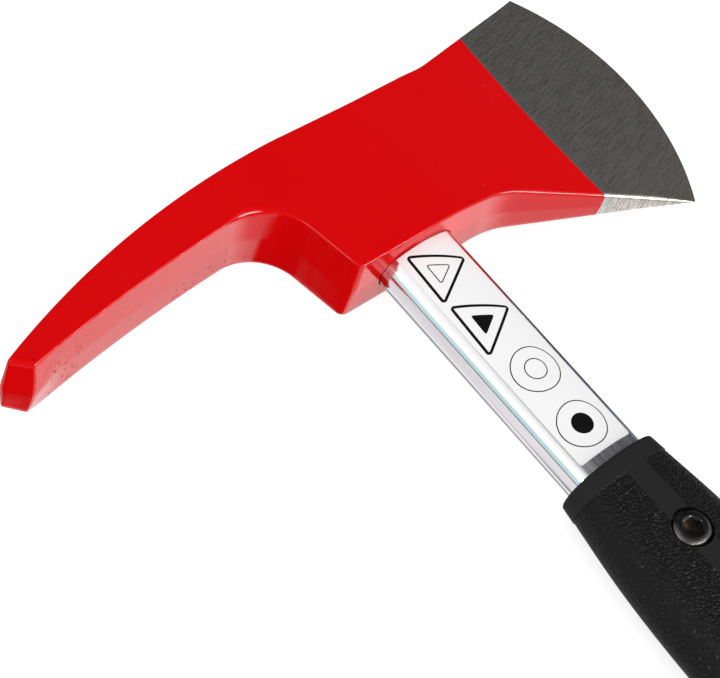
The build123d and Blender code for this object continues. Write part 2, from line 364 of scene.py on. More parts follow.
def head_outline():
    """Outline along the parting line, anticlockwise from the heel."""
    at = CORNER_ROUNDS
    arc_count = int(EDGE_RADIUS * math.radians(TOE_ANGLE - HEEL_ANGLE) / STEP)
    edge = polar(EDGE_CENTRE, EDGE_RADIUS, np.linspace(HEEL_ANGLE, TOE_ANGLE, arc_count))
    back_centre = PICK_CROWN - (0, PICK_BACK_RADIUS)
    back = polar(back_centre, PICK_BACK_RADIUS, np.linspace(90, 90 + PICK_BACK_SWEEP, 86))
    chord = spread(PICK_TIP_INNER, PICK_ROOT)
    along = np.linspace(-1, 1, len(chord))[:, None]
    hollow = chord + PICK_HOLLOW * (1 - along ** 2) * rotate_left(unit(chord[-1] - chord[0]))
    legs = (edge, spread(edge[-1], BLADE_TOP), spread(BLADE_TOP, EYE_TOP_FRONT), spread(EYE_TOP_FRONT, EYE_TOP_LOW),
            spread(EYE_TOP_LOW, PICK_CROWN), back, spread(back[-1], PICK_TIP_INNER), hollow,
            spread(PICK_ROOT, POLL_FOOT), spread(POLL_FOOT, THROAT), spread(THROAT, edge[0]))
    rounds = (0, at["blade_top"], at["eye_front"], at["eye_low"], 0, at["tip"],
              at["tip"], at["root"], at["foot"], at["throat"], 0)
    return join_rounded(legs, rounds)


def half_height(points):
    """Half the head's thickness over each point: full at the eye, thinning to the edge."""
    spare = 8
    low, high = HEEL_ANGLE - spare, TOE_ANGLE + spare
    y_low, y_high = (polar(EDGE_CENTRE, EDGE_RADIUS, angle)[1] for angle in (low, high))
    t_low, t_high = np.zeros(len(points)), np.ones(len(points))
    for _ in range(40):
        t = (t_low + t_high) / 2
        ridge = np.stack((np.full(len(t), WEDGE_START), y_low + t * (y_high - y_low)), -1)
        ruling = polar(EDGE_CENTRE, EDGE_RADIUS, low + t * (high - low)) - ridge
        away = points - ridge
        left = ruling[:, 0] * away[:, 1] - ruling[:, 1] * away[:, 0] > 0
        t_low, t_high = np.where(left, t, t_low), np.where(left, t_high, t)
    share = np.einsum("ij,ij->i", away, ruling) / np.einsum("ij,ij->i", ruling, ruling)
    blend = 0.02
    eased = blend * np.logaddexp(0, share / blend)
    return np.maximum(MID * (1 - np.where(points[:, 0] < WEDGE_START - 12, 0, eased)), MIN_HALF)


def edge_rounds(owners, side):
    """Rounding of the edge at each point of the outline."""
    if side < 0:
        return np.full(len(owners), LOWER_ROUND)
    legs = len(UPPER_ROUNDS)
    size = np.interp(owners, np.arange(legs + 1), UPPER_ROUNDS + UPPER_ROUNDS[:1])
    size = size + ROOT_ROUND * ease(owners, 6.98, 7.12) * ease(owners, 7.62, 7.3)
    window = np.hanning(9)
    padded = np.concatenate((size[-4:], size, size[:4]))
    return np.convolve(padded, window / window.sum(), "valid")


def head_sections(side):
    """Rings from the parting line over the rounded edge onto a cheek: x, y, height."""
    outline, room, slide, owners = head_outline()
    inward = inward_of(outline)

    def shrunk(inset):
        return outline + inset[:, None] * inward + np.maximum(inset - room, 0)[:, None] * slide

    height = half_height(outline)
    for _ in range(3):
        share = height / MID
        height = half_height(shrunk((SIDE_INSET + SIDE_LEAN) * share))
    top = (SIDE_INSET + SIDE_LEAN) * share
    foot = SIDE_INSET * share * ease(outline[:, 0], -142, -122)
    slope = half_height(shrunk(top + 1)) - height
    size = np.minimum(edge_rounds(owners, side), 0.55 * height)
    wall_top = height - size
    lean = foot + (top - foot) * wall_top / height
    steps = [(foot + part * (lean - foot), part * wall_top) for part in (0, 0.1, 0.3, 0.5, 0.7, 0.86, 1)]
    end = (top + size, height + slope * size)
    for t in np.linspace(0, 1, 8)[1:]:
        weights = ((1 - t) ** 2, 2 * t * (1 - t), t * t)
        steps.append(tuple(sum(w * p[k] for w, p in zip(weights, ((lean, wall_top), (top, height), end))) for k in (0, 1)))
    steps.append((end[0] + 0.3 * size, end[1] + 0.3 * slope * size))
    return [np.column_stack((shrunk(inset), up)) for inset, up in steps]


def cheek_faces(rim):
    """Points and triangles that fill a cheek inside its rim."""
    spacing = 4.0
    low, high = rim[:, :2].min(0), rim[:, :2].max(0)
    xs, ys = np.meshgrid(np.arange(low[0], high[0], spacing), np.arange(low[1], high[1], spacing))
    grid = np.column_stack((xs.ravel(), ys.ravel()))
    clear = np.min(np.linalg.norm(grid[:, None] - rim[None, :, :2], axis=2), axis=1) > 0.45 * spacing
    points = [Vector(p[:2]) for p in rim] + [Vector(p) for p in grid[clear]]
    sides = [(i, (i + 1) % len(rim)) for i in range(len(rim))]
    flat, _, faces, *_ = delaunay_2d_cdt(points, sides, [], 1, 1e-6)
    flat = np.array([tuple(p) for p in flat])
    heights = half_height(flat)
    heights[:len(rim)] = rim[:, 2]
    return np.column_stack((flat, heights)), faces


def head_mesh():
    """Whole head as points and faces, before the eye is cut."""
    points, faces = [], []
    for side in (1, -1):
        rings = head_sections(side)
        count, start = len(rings[0]), len(points)
        for ring in rings:
            points.extend((x, y, MID + side * up) for x, y, up in ring)
        for level in range(len(rings) - 1):
            for i in range(count):
                j = (i + 1) % count
                a, b = start + level * count, start + (level + 1) * count
                faces.append((a + i, a + j, b + j, b + i)[::side])
        cheek, triangles = cheek_faces(rings[-1])
        start = len(points)
        points.extend((x, y, MID + side * up) for x, y, up in cheek)
        faces.extend([start + k for k in triangle][::side] for triangle in triangles)
    points = np.array(points)
    x, y, z = np.array(points).T
    foot = ease(-x, 122, 138) * ease(2.35 + 0.28 * (x + 138.5) - y, 0, 3.5)
    points[:, :2] += (TIP_SWELL * foot * (1 - ((z - MID) / MID) ** 2))[:, None] * TIP_WAY
    points[:, 2] += TIP_LIFT * ease(-points[:, 0], 128, 147) * ease(MID - points[:, 2], 0, MID)
    return points, faces


def oval_at(half_width, half_thickness, end_radius, along):
    """Point and outward normal on an oval of four arcs, at a distance round from its crown."""
    reach, rise = half_width - end_radius, half_thickness - end_radius
    drop = (reach ** 2 - rise ** 2) / (2 * rise)
    crown = drop + half_thickness
    turn = np.arctan2(reach, drop)
    quarter = crown * turn + end_radius * (np.pi / 2 - turn)
    distance = np.abs(along)
    under = distance > quarter
    distance = np.where(under, 2 * quarter - distance, distance)
    on_crown = distance < crown * turn
    angle = np.where(on_crown, distance / crown, turn + (distance - crown * turn) / end_radius)
    across, up = np.sin(angle), np.cos(angle)
    x = np.where(on_crown, crown * across, reach + end_radius * across)
    z = np.where(on_crown, crown * up - drop, end_radius * up)
    side, level = np.sign(along), np.where(under, -1, 1)
    return side * x, level * z, side * across, level * up


def oval_length(half_width, half_thickness, end_radius):
    """Half the way round such an oval."""
    reach, rise = half_width - end_radius, half_thickness - end_radius
    drop = (reach ** 2 - rise ** 2) / (2 * rise)
    turn = math.atan2(reach, drop)
    return 2 * ((drop + half_thickness) * turn + end_radius * (math.pi / 2 - turn))


TUBE = (15.75, 9.5, 8.2)     # half width, half thickness and end radius of the tube
TUBE_TOP, FLARE, FLARE_LENGTH = 23.5, 0.7, 20.0    # its end in the eye, and how that is expanded


def tube_ring(grow, y, count=120):
    """Ring of points round the tube, grown by an amount."""
    size = [s + grow for s in TUBE]
    half = oval_length(*size)
    along = np.linspace(-half, half, count, endpoint=False)
    x, z, *_ = oval_at(*size, along)
    return np.column_stack((x, np.full(count, y), MID + z))


def stack_rings(rings, close=True):
    """Points and faces of a tube through rings of as many points, capped at both ends."""
    count = len(rings[0])
    faces = []
    for level in range(len(rings) - 1):
        a, b = level * count, (level + 1) * count
        faces.extend((a + i, a + (i + 1) % count, b + (i + 1) % count, b + i) for i in range(count))
    if close:
        faces.append(tuple(range(count))[::-1])
        faces.append(tuple((len(rings) - 1) * count + i for i in range(count)))
    return np.vstack(rings), faces


def cut_from(piece, cutter):
    """Piece with the cutter taken away, as a plain mesh."""
    change = piece.modifiers.new("cut", "BOOLEAN")
    change.operation, change.solver, change.object = "DIFFERENCE", "EXACT", cutter
    plain = bpy.data.meshes.new_from_object(piece.evaluated_get(bpy.context.evaluated_depsgraph_get()))
    name, material = piece.name, piece.data.materials[0]
    for used in (piece, cutter):
        bpy.data.objects.remove(used)
    return finish_piece(name, plain, material)


def new_material(name):
    """Empty material with a Principled shader on its output."""
    material = bpy.data.materials.new(name)
    material.use_nodes = True
    tree = material.node_tree
    tree.nodes.clear()
    shader = add(tree, "ShaderNodeBsdfPrincipled")
    add(tree, "ShaderNodeOutputMaterial", {"Surface": shader.outputs[0]})
    return material, tree, shader


def wire(tree, shader, **values):
    """Sets or links the shader's sockets; underscores stand for spaces."""
    for name, value in values.items():
        socket = shader.inputs[name.replace("_", " ")]
        if isinstance(value, bpy.types.NodeSocket):
            tree.links.new(value, socket)
        else:
            socket.default_value = value


def new_group(name, inputs, outputs):
    """Shader node group with named sockets: (name, kind, value) for inputs."""
    group = bpy.data.node_groups.new(name, "ShaderNodeTree")
    for label, kind, value in inputs:
        socket = group.interface.new_socket(label, in_out="INPUT", socket_type="NodeSocket" + kind)
        socket.default_value = value
    for label, kind in outputs:
        group.interface.new_socket(label, in_out="OUTPUT", socket_type="NodeSocket" + kind)
    return group, add(group, "NodeGroupInput").outputs, add(group, "NodeGroupOutput")


def noise(tree, where, scale, detail=3.0, roughness=0.5):
    """Noise value over a place."""
    inputs = {"Vector": where, "Scale": scale, "Detail": detail, "Roughness": roughness}
    return add(tree, "ShaderNodeTexNoise", inputs).outputs["Fac"]


def build_scratches():
    """Fine lines of one direction: length and width of a line in metres, turn in radians."""
    inputs = (("Length", "Float", 0.02), ("Width", "Float", 0.0003), ("Turn", "Float", 0.0))
    group, given, out = new_group("scratches", inputs, (("Lines", "Float"), ("Deep", "Float")))
    where = add(group, "ShaderNodeTexCoord").outputs["Object"]
    turned = add(group, "ShaderNodeVectorRotate", {"Vector": where, "Angle": given["Turn"]}, rotation_type="Z_AXIS")
    long_way = maths(group, "DIVIDE", 1.0, given["Length"])
    cross_way = maths(group, "DIVIDE", 1.0, given["Width"])
    stretch = add(group, "ShaderNodeCombineXYZ", {"X": long_way, "Y": cross_way, "Z": long_way})
    place = add(group, "ShaderNodeVectorMath", {0: turned.outputs[0], 1: stretch.outputs[0]}, operation="MULTIPLY")
    lines = noise(group, place.outputs[0], 1.0, 1.0, 0.4)
    sparse = add(group, "ShaderNodeVectorMath", {0: place.outputs[0], 1: (1.2, 0.7, 1.2)}, operation="MULTIPLY")
    deep = ramp(group, noise(group, sparse.outputs[0], 1.0, 0.0), 0.66, 0.76)
    group.links.new(lines, out.inputs["Lines"])
    group.links.new(deep, out.inputs["Deep"])
    return group


def build_mottle():
    """Slow patches and small specks, for dirt, dust and uneven finish."""
    inputs = (("Patch", "Float", 0.03), ("Speck", "Float", 0.001), ("Share", "Float", 0.07))
    group, given, out = new_group("mottle", inputs, (("Patches", "Float"), ("Specks", "Float")))
    where = add(group, "ShaderNodeTexCoord").outputs["Object"]
    patches = noise(group, where, maths(group, "DIVIDE", 1.0, given["Patch"]), 4.0, 0.55)
    cells = add(group, "ShaderNodeTexVoronoi", {"Vector": where, "Scale": maths(group, "DIVIDE", 1.0, given["Speck"])})
    chance = add(group, "ShaderNodeSeparateColor", {0: cells.outputs["Color"]}).outputs[0]
    dot = ramp(group, cells.outputs["Distance"], 0.30, 0.16)
    specks = maths(group, "MULTIPLY", dot, maths(group, "LESS_THAN", chance, given["Share"]))
    group.links.new(patches, out.inputs["Patches"])
    group.links.new(specks, out.inputs["Specks"])
    return group


SCRATCHES, MOTTLE = build_scratches(), build_mottle()


def use_group(tree, group, **values):
    """Places a node group with its own values."""
    return add(tree, "ShaderNodeGroup", {name: value for name, value in values.items()}, node_tree=group)


def bumped(tree, height, distance, strength=1.0):
    """Normal from a height in metres."""
    return add(tree, "ShaderNodeBump", {"Height": height, "Distance": distance, "Strength": strength}).outputs[0]


def enamel_and_steel():
    """Gloss red enamel, with bare ground steel past the grinding line."""
    material, tree, shader = new_material("red_enamel_and_ground_steel")
    where = add(tree, "ShaderNodeTexCoord").outputs["Object"]
    x, y, z = add(tree, "ShaderNodeSeparateXYZ", {0: where}).outputs
    waver = maths(tree, "MULTIPLY", maths(tree, "SUBTRACT", noise(tree, where, 260.0), 0.5), 0.0005)
    bow = maths(tree, "ADD", maths(tree, "MULTIPLY", maths(tree, "MULTIPLY", y, y), 1.2), maths(tree, "MULTIPLY", y, 0.03))
    past = maths(tree, "SUBTRACT", maths(tree, "SUBTRACT", maths(tree, "ADD", x, waver), bow), GROUND_FROM * MM)
    bare = ramp(tree, past, -0.00012, 0.00012)
    near_line = ramp(tree, past, 0.0034, 0.0006)
    scratch = use_group(tree, SCRATCHES, Length=0.008, Width=0.00024, Turn=-0.30)
    coarse = use_group(tree, SCRATCHES, Length=0.012, Width=0.0005, Turn=-0.24)
    mottle = use_group(tree, MOTTLE, Patch=0.035, Speck=0.0019, Share=0.6)
    stains = use_group(tree, MOTTLE, Patch=0.018, Speck=0.0015, Share=0.07)
    streaks = maths(tree, "MULTIPLY_ADD", coarse.outputs["Lines"], 0.35, scratch.outputs["Lines"])
    grain = noise(tree, where, 1700.0, 1.0)
    streaks = ramp(tree, maths(tree, "MULTIPLY_ADD", grain, 0.9, streaks), 0.72, 1.50)
    steel = mixed(tree, streaks, (0.64, 0.604, 0.55, 1), (0.19, 0.177, 0.159, 1))
    steel = mixed(tree, maths(tree, "MULTIPLY", scratch.outputs["Deep"], 0.15), steel, (0.92, 0.89, 0.84, 1))
    steel = mixed(tree, maths(tree, "MULTIPLY", near_line, 0.35), steel, (0.36, 0.47, 0.49, 1))
    steel = mixed(tree, maths(tree, "MULTIPLY", stains.outputs["Specks"], 0.3), steel, (0.12, 0.11, 0.10, 1))
    below = ramp(tree, z, 0.015, 0.006)
    at_tip = maths(tree, "MULTIPLY", ramp(tree, x, -0.108, -0.122), ramp(tree, x, -0.1375, -0.133))
    at_tip = maths(tree, "MULTIPLY", at_tip, ramp(tree, z, 0.0265, 0.0225))
    at_root = maths(tree, "MULTIPLY", ramp(tree, x, -0.085, -0.070), ramp(tree, x, -0.038, -0.050))
    pitted = maths(tree, "MAXIMUM", at_tip, maths(tree, "MULTIPLY", below, at_root))
    pits = maths(tree, "MULTIPLY", mottle.outputs["Specks"], pitted)
    red = mixed(tree, maths(tree, "MULTIPLY", mottle.outputs["Patches"], 0.10), (0.70, 0.0, 0.001, 1), (0.52, 0.0, 0.003, 1))
    red = mixed(tree, maths(tree, "MULTIPLY", pits, 0.8), red, (0.16, 0.0, 0.003, 1))
    grit = maths(tree, "MULTIPLY", stains.outputs["Specks"], ramp(tree, stains.outputs["Patches"], 0.58, 0.66))
    red = mixed(tree, maths(tree, "MULTIPLY", grit, 0.25), red, (0.9, 0.25, 0.22, 1))
    rough = maths(tree, "MULTIPLY_ADD", mottle.outputs["Patches"], 0.08, 0.07)
    rough = maths(tree, "MULTIPLY_ADD", pits, 0.5, rough)
    shine = maths(tree, "MULTIPLY_ADD", pits, -0.45, 0.5)
    steel_rough = maths(tree, "MULTIPLY_ADD", streaks, 0.16, 0.26)
    roughness = maths(tree, "ADD", maths(tree, "MULTIPLY", rough, maths(tree, "SUBTRACT", 1.0, bare)),
                      maths(tree, "MULTIPLY", steel_rough, bare))
    peel = maths(tree, "MULTIPLY", noise(tree, where, 420.0, 2.0), 0.20)
    sags = add(tree, "ShaderNodeVectorMath", {0: where, 1: (130.0, 130.0, 26.0)}, operation="MULTIPLY").outputs[0]
    film = maths(tree, "MULTIPLY_ADD", noise(tree, sags, 1.0, 2.0), 2.2, peel)
    film = maths(tree, "MULTIPLY", film, maths(tree, "SUBTRACT", 1.0, bare))
    cuts = maths(tree, "SUBTRACT", scratch.outputs["Lines"], scratch.outputs["Deep"])
    relief = maths(tree, "MULTIPLY_ADD", cuts, maths(tree, "MULTIPLY", bare, 0.07), film)
    relief = maths(tree, "SUBTRACT", relief, maths(tree, "MULTIPLY", bare, 1.5))
    metal = maths(tree, "MULTIPLY", bare, 0.93)
    wire(tree, shader, Base_Color=mixed(tree, bare, red, steel), Metallic=metal, Roughness=roughness, IOR=1.34,
         Specular_IOR_Level=shine,
         Normal=bumped(tree, relief, 0.00004))
    return material


def make_head():
    head = mesh_piece("forged_head", *head_mesh(), enamel_and_steel())
    gap, lip, past = 0.35, 0.6, 25.0
    rings = [tube_ring(gap + lip, UNDERSIDE - past)]
    for angle in np.linspace(0, math.pi / 2, 6):
        rings.append(tube_ring(gap + lip * (1 - math.sin(angle)), UNDERSIDE + lip * (1 - math.cos(angle))))
    rings += [tube_ring(gap, UNDERSIDE + 6), tube_ring(0.1, UNDERSIDE + 9), tube_ring(0.1, TUBE_TOP - FLARE_LENGTH),
              tube_ring(FLARE + 0.1, TUBE_TOP), tube_ring(FLARE + 0.3, PICK_CROWN[1] - 1.2),
              tube_ring(FLARE + 1.5, PICK_CROWN[1]), tube_ring(FLARE + 1.5, PICK_CROWN[1] + past)]
    head = cut_from(head, mesh_piece("eye_cutter", *stack_rings(rings), head.data.materials[0]))
    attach(head, ROOT)
    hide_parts("axe_head")


make_head()


# ---- The handle tube ---------------------------------------------------------------------
# Flat-oval steel tube, drawn and then chromed. Its end in the eye is expanded by the plug,
# and its lower end runs the length of the grip.
TUBE_END, TUBE_WALL = -307.9, 2.0


def chrome():
    """Bright plate with fine drawing lines along the tube."""
    material, tree, shader = new_material("bright_chrome")
    lines = use_group(tree, SCRATCHES, Length=0.06, Width=0.0006, Turn=math.pi / 2)
    mottle = use_group(tree, MOTTLE, Patch=0.02, Speck=0.002)
    colour = mixed(tree, lines.outputs["Lines"], (0.74, 0.74, 0.755, 1), (0.97, 0.97, 0.975, 1))
    rough = maths(tree, "MULTIPLY_ADD", mottle.outputs["Patches"], 0.08, 0.07)
    across, along, _ = add(tree, "ShaderNodeSeparateXYZ", {0: add(tree, "ShaderNodeTexCoord").outputs["Object"]}).outputs
    upper = ramp(tree, maths(tree, "ABSOLUTE", across), 0.0128, 0.0108)
    worn = maths(tree, "MULTIPLY", upper, ramp(tree, along, -0.114, -0.118))
    worn = maths(tree, "MULTIPLY", worn, ramp(tree, lines.outputs["Lines"], 0.0, 1.2))
    rough = maths(tree, "MULTIPLY_ADD", worn, 0.52, rough)
    wire(tree, shader, Base_Color=colour, Metallic=1.0, Roughness=rough)
    return material


def make_tube():
    places = [(TUBE_END, 0), (TUBE_TOP - FLARE_LENGTH, 0), (TUBE_TOP, FLARE)]
    outer = [tube_ring(grow, y) for y, grow in places]
    inner = [tube_ring(grow - TUBE_WALL, y) for y, grow in places]
    points, faces = stack_rings(outer + inner[::-1] + outer[:1], close=False)
    tube = mesh_piece("handle_tube_chromed", points, faces, chrome())
    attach(tube, ROOT)
    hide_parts("handle_tube")


make_tube()


# ---- The eye plug ------------------------------------------------------------------------
# Turned and milled steel plug, driven into the tube's end from above, dull and hammered.
def plug_steel():
    """Dull machined steel with cross lines and hammer marks."""
    material, tree, shader = new_material("dull_machined_steel")
    lines = use_group(tree, SCRATCHES, Length=0.01, Width=0.0004, Turn=0.3)
    mottle = use_group(tree, MOTTLE, Patch=0.006, Speck=0.0015)
    colour = mixed(tree, mottle.outputs["Patches"], (0.22, 0.21, 0.20, 1), (0.46, 0.45, 0.43, 1))
    rough = maths(tree, "MULTIPLY_ADD", lines.outputs["Lines"], 0.25, 0.32)
    wire(tree, shader, Base_Color=colour, Metallic=1.0, Roughness=rough,
         Normal=bumped(tree, mottle.outputs["Patches"], 0.0002, 0.6))
    return material


frame["nodes"]["eye_plug"].data.materials[0] = plug_steel()


# ---- The label and its print -------------------------------------------------------------
# White film stuck on the upper face of the tube. Its marks are plain outlines: two triangles
# and two rings, each round a smaller copy of itself.
LABEL_HALF_WIDTH, LABEL_FRONT, LABEL_REAR, LABEL_CORNER = 11.2, -27.8, -119.8, 1.0
LABEL_BASE, LABEL_TOP = 0.05, 0.25
INK_RISE = 0.03
TRIANGLES = (((-8.0, -29.7), (8.3, -39.6), (-8.8, -49.2)), ((-8.3, -52.5), (8.1, -62.2), (-9.2, -72.5)))
RINGS = ((-0.4, -85.3), (-1.1, -108.8))
RING_RADIUS = 8.4
THICK_LINE, THIN_LINE = 0.95, 0.36


def over_tube(x, rise):
    """Height over a place on the tube's upper face."""
    size = [s + rise for s in TUBE]
    along = np.linspace(0, oval_length(*size) / 2, 400)
    across, up, *_ = oval_at(*size, along)
    return MID + np.interp(np.abs(x), across, up)


def label_film():
    """White film with a faint sheen, a little yellowed in patches."""
    material, tree, shader = new_material("white_label_film")
    mottle = use_group(tree, MOTTLE, Patch=0.02, Speck=0.0012)
    colour = mixed(tree, mottle.outputs["Patches"], (0.965, 0.96, 0.965, 1), (0.94, 0.94, 0.945, 1))
    rough = maths(tree, "MULTIPLY_ADD", mottle.outputs["Patches"], 0.15, 0.30)
    wire(tree, shader, Base_Color=colour, Roughness=rough, Normal=bumped(tree, mottle.outputs["Patches"], 0.00008))
    return material


def make_label():
    columns = np.linspace(-LABEL_HALF_WIDTH, LABEL_HALF_WIDTH, 61)
    overhang = np.maximum(np.abs(columns) - (LABEL_HALF_WIDTH - LABEL_CORNER), 0)
    rear = LABEL_REAR + LABEL_CORNER - np.sqrt(LABEL_CORNER ** 2 - overhang ** 2)
    rows = 24
    points, faces = [], []
    for rise in (LABEL_TOP, LABEL_BASE):
        height = over_tube(columns, rise)
        for share in np.linspace(0, 1, rows):
            points.extend(zip(columns, LABEL_FRONT + share * (rear - LABEL_FRONT), height))
    count, layer = len(columns), rows * len(columns)
    for row in range(rows - 1):
        for i in range(count - 1):
            a, b = row * count + i, (row + 1) * count + i
            faces.append((a, a + 1, b + 1, b))
            faces.append((layer + b, layer + b + 1, layer + a + 1, layer + a))
    rim = list(range(count)) + [row * count + count - 1 for row in range(1, rows)]
    rim += [(rows - 1) * count + i for i in range(count - 2, -1, -1)] + [row * count for row in range(rows - 2, 0, -1)]
    faces.extend((a, b, layer + b, layer + a) for a, b in zip(rim, rim[1:] + rim[:1]))
    label = mesh_piece("white_tube_label", points, faces, label_film())
    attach(label, ROOT)
    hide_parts("tube_label")


def rounded_triangle(corners, scale, radius):
    """Outline of a triangle about its own middle, with rounded corners."""
    corners = np.array(corners)
    middle = corners.mean(0)
    corners = middle + scale * (corners - middle)
    legs = [spread(corners[i], corners[(i + 1) % 3]) for i in range(3)]
    return join_rounded(legs, (radius,) * 3)[0]


def circle(centre, radius):
    return polar(centre, radius, np.linspace(0, 360, 73)[:-1])


def ink_line(outline, width):
    """Closed band of ink on the label along an outline."""
    side = inward_of(outline)
    edges = [outline + width / 2 * side, outline - width / 2 * side]
    points, faces = [], []
    for edge, rise in ((edges[0], LABEL_TOP), (edges[1], LABEL_TOP),
                       (edges[1], LABEL_TOP + INK_RISE), (edges[0], LABEL_TOP + INK_RISE)):
        points.extend(zip(edge[:, 0], edge[:, 1], over_tube(edge[:, 0], rise)))
    count = len(outline)
    for k in range(4):
        a, b = k * count, (k + 1) % 4 * count
        faces.extend((a + i, a + (i + 1) % count, b + (i + 1) % count, b + i) for i in range(count))
    return points, faces


def ink_patch(outline):
    """Solid patch of ink on the label inside an outline."""
    middle = outline.mean(0)
    rings = [middle + share * (outline - middle) for share in (0.02, 0.35, 0.7, 1)]
    loops = [(ring, LABEL_TOP + INK_RISE) for ring in rings] + [(ring, LABEL_TOP) for ring in rings[::-1]]
    return stack_rings([np.column_stack((ring, over_tube(ring[:, 0], rise))) for ring, rise in loops])


def make_print():
    parts = []
    for corners, solid in zip(TRIANGLES, (False, True)):
        parts.append(ink_line(rounded_triangle(corners, 1.04, 0.7), THICK_LINE))
        small = rounded_triangle(corners, 0.42, 0.5)
        parts.append(ink_patch(small) if solid else ink_line(small, THIN_LINE))
    for centre, solid in zip(RINGS, (False, True)):
        parts.append(ink_line(circle(centre, RING_RADIUS), THIN_LINE))
        small = circle(centre, 0.45 * RING_RADIUS)
        parts.append(ink_patch(small) if solid else ink_line(small, THIN_LINE))
    points, faces = [], []
    for part_points, part_faces in parts:
        start = len(points)
        points.extend(part_points)
        faces.extend([start + i for i in face] for face in part_faces)
    material, tree, shader = new_material("black_ink")
    mottle = use_group(tree, MOTTLE, Patch=0.004, Speck=0.0008)
    colour = mixed(tree, mottle.outputs["Patches"], (0.003, 0.003, 0.0035, 1), (0.007, 0.007, 0.0075, 1))
    wire(tree, shader, Base_Color=colour, Roughness=maths(tree, "MULTIPLY_ADD", mottle.outputs["Patches"], 0.2, 0.35),
         Specular_IOR_Level=0.10,
         Normal=bumped(tree, mottle.outputs["Patches"], 0.00003))
    ink = mesh_piece("label_print", points, faces, material)
    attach(ink, ROOT)


make_label()
make_print()


# ---- The grip ----------------------------------------------------------------------------
# Black rubber moulded in one piece over the tube. A smooth collar and a smooth strip on both
# faces frame two grained panels, which are sunk a little and wrap round the sides.
GRIP_FRONT, GRIP_LENGTH = -124.0, 184.0
# distance behind the rim, half width, half thickness, offset of the centre along X
GRIP_SECTIONS = np.array(((0, 19.3, 13.7, -0.2), (33, 23.7, 14.6, -0.5), (72, 25.7, 15.1, -0.7),
                          (136, 23.4, 14.4, -0.3), (GRIP_LENGTH, 25.4, 15.1, 0)))
GRIP_END_RATIO = 0.9
RIM_ROUND = 0.6
COLLAR = 6.4                 # smooth length at each end
STRIP_LEFT, STRIP_RIGHT = -3.3, 5.0
PANEL_DEPTH, PANEL_STEP = 0.28, 0.22
RECESS_RADIUS = 7.2
SCREW_X, SCREW_YS = 0.6, (-157.0, -277.0)


def grip_size(distance):
    """Half width, half thickness and offset at a distance behind the rim, on a smooth curve."""
    stations, values = GRIP_SECTIONS[:, 0], GRIP_SECTIONS[:, 1:]
    slopes = np.gradient(values, stations, axis=0)
    k = int(np.clip(np.searchsorted(stations, distance) - 1, 0, len(stations) - 2))
    span = stations[k + 1] - stations[k]
    t = (distance - stations[k]) / span
    return ((2 * t ** 3 - 3 * t ** 2 + 1) * values[k] + (t ** 3 - 2 * t ** 2 + t) * span * slopes[k]
            + (3 * t ** 2 - 2 * t ** 3) * values[k + 1] + (t ** 3 - t ** 2) * span * slopes[k + 1])


def grip_columns(half):
    """Places round a section, closer at the panels' edges: rightwards is positive."""
    step = PANEL_STEP
    right = [STRIP_RIGHT - step, STRIP_RIGHT, *np.linspace(STRIP_RIGHT + step, half - STRIP_RIGHT - step, 62),
             half - STRIP_RIGHT, half - STRIP_RIGHT + step]
    left = [STRIP_LEFT + step, STRIP_LEFT, *np.linspace(STRIP_LEFT - step, -(half + STRIP_LEFT) + step, 62),
            -(half + STRIP_LEFT), -(half + STRIP_LEFT) - step]
    top = list(np.linspace(STRIP_LEFT + step, STRIP_RIGHT - step, 9)[1:-1])
    under = list(np.linspace(half - STRIP_RIGHT + step, half - STRIP_LEFT - step, 9)[1:-1])
    under = [u if u <= half else u - 2 * half for u in under]
    return np.array(top + right + under + left[::-1])


def panel_cover(along, half, distance):
    """1 on a grained panel and 0 on the smooth collar, strips and end."""
    half_step = PANEL_STEP / 2
    right = ease(along, STRIP_RIGHT - half_step, STRIP_RIGHT + half_step) * ease(
        along, half - STRIP_RIGHT + half_step, half - STRIP_RIGHT - half_step)
    left = ease(-along, -STRIP_LEFT - half_step, -STRIP_LEFT + half_step) * ease(
        -along, half + STRIP_LEFT + half_step, half + STRIP_LEFT - half_step)
    lengthwise = ease(distance, COLLAR - half_step, COLLAR + half_step) * ease(
        distance, GRIP_LENGTH - COLLAR + half_step, GRIP_LENGTH - COLLAR - half_step)
    return (right + left) * lengthwise


def grip_rows():
    """Distances behind the rim and how far in the surface is there, for the rounded rims."""
    rim = [(RIM_ROUND * (1 - math.cos(a)), RIM_ROUND * (1 - math.sin(a))) for a in np.linspace(0, math.pi / 2, 6)]
    step = PANEL_STEP / 2
    near = [COLLAR - 2 * step, COLLAR - step, COLLAR, COLLAR + step, COLLAR + 2 * step]
    middle = np.linspace(COLLAR + 1, GRIP_LENGTH - COLLAR - 1, 130)
    flat = [2, 4] + near + list(middle) + [GRIP_LENGTH - d for d in near[::-1]] + [GRIP_LENGTH - 4, GRIP_LENGTH - 2]
    end = [(GRIP_LENGTH - d, inset * 0.4) for d, inset in rim[::-1]]
    return rim + [(d, 0) for d in flat] + end


